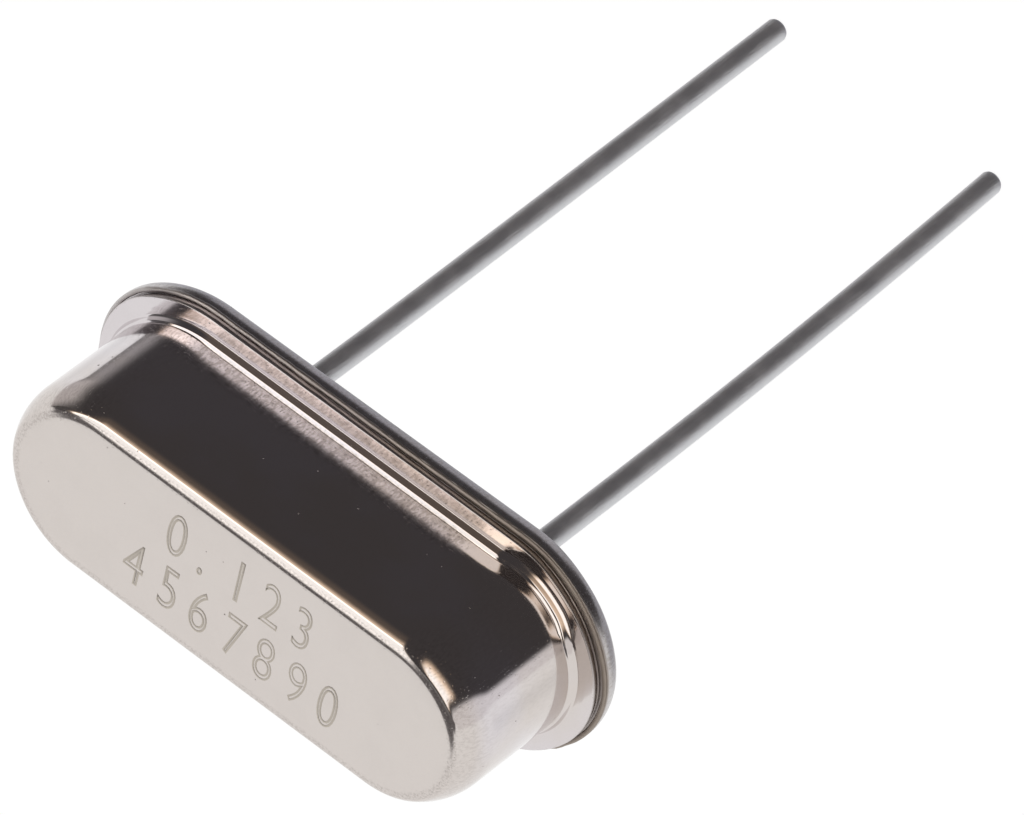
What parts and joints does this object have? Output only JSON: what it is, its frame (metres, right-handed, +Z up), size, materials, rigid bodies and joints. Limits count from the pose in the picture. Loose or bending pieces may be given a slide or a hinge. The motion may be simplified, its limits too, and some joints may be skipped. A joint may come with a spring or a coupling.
{
  "type": "crystal oscillator",
  "caption": "Through-hole quartz crystal unit: a low oval drawn metal can welded to a flanged base, with wire leads sealed in glass and a quartz strip held in spring clips inside.",
  "frame": {"origin": "centre of the seating plane, the underside of the base, midway between the leads", "axes": "+Z up through the can's top, with the leads pointing to -Z; X along the can's long side, through both leads; Y across it"},
  "size_m": [0.011, 0.0046, 0.0176],
  "materials": {
    "cover_nickel": "nickel-plated drawn sheet, satin mirror",
    "base_nickel": "nickel-plated steel, satin",
    "seal_glass": "dark fused sealing glass, glossy",
    "lead_tin": "dull tin-plated wire",
    "clip_metal": "bare rolled spring strip of copper and nickel",
    "quartz": "lapped and etched quartz, frosted",
    "film_silver": "evaporated silver film",
    "silver_epoxy": "cured silver-filled epoxy, matte"
  },
  "bodies": {
    "root": {"cover": "cover_nickel", "base": "base_nickel", "glass_seal_1": "seal_glass", "glass_seal_2": "seal_glass", "lead_1": "lead_tin", "lead_2": "lead_tin", "clip_1": "clip_metal", "clip_2": "clip_metal", "quartz_blank": "quartz", "electrode_front": "film_silver", "electrode_back": "film_silver", "adhesive_1_front": "silver_epoxy", "adhesive_1_back": "silver_epoxy", "adhesive_2_front": "silver_epoxy", "adhesive_2_back": "silver_epoxy"}
  },
  "joints": []
}
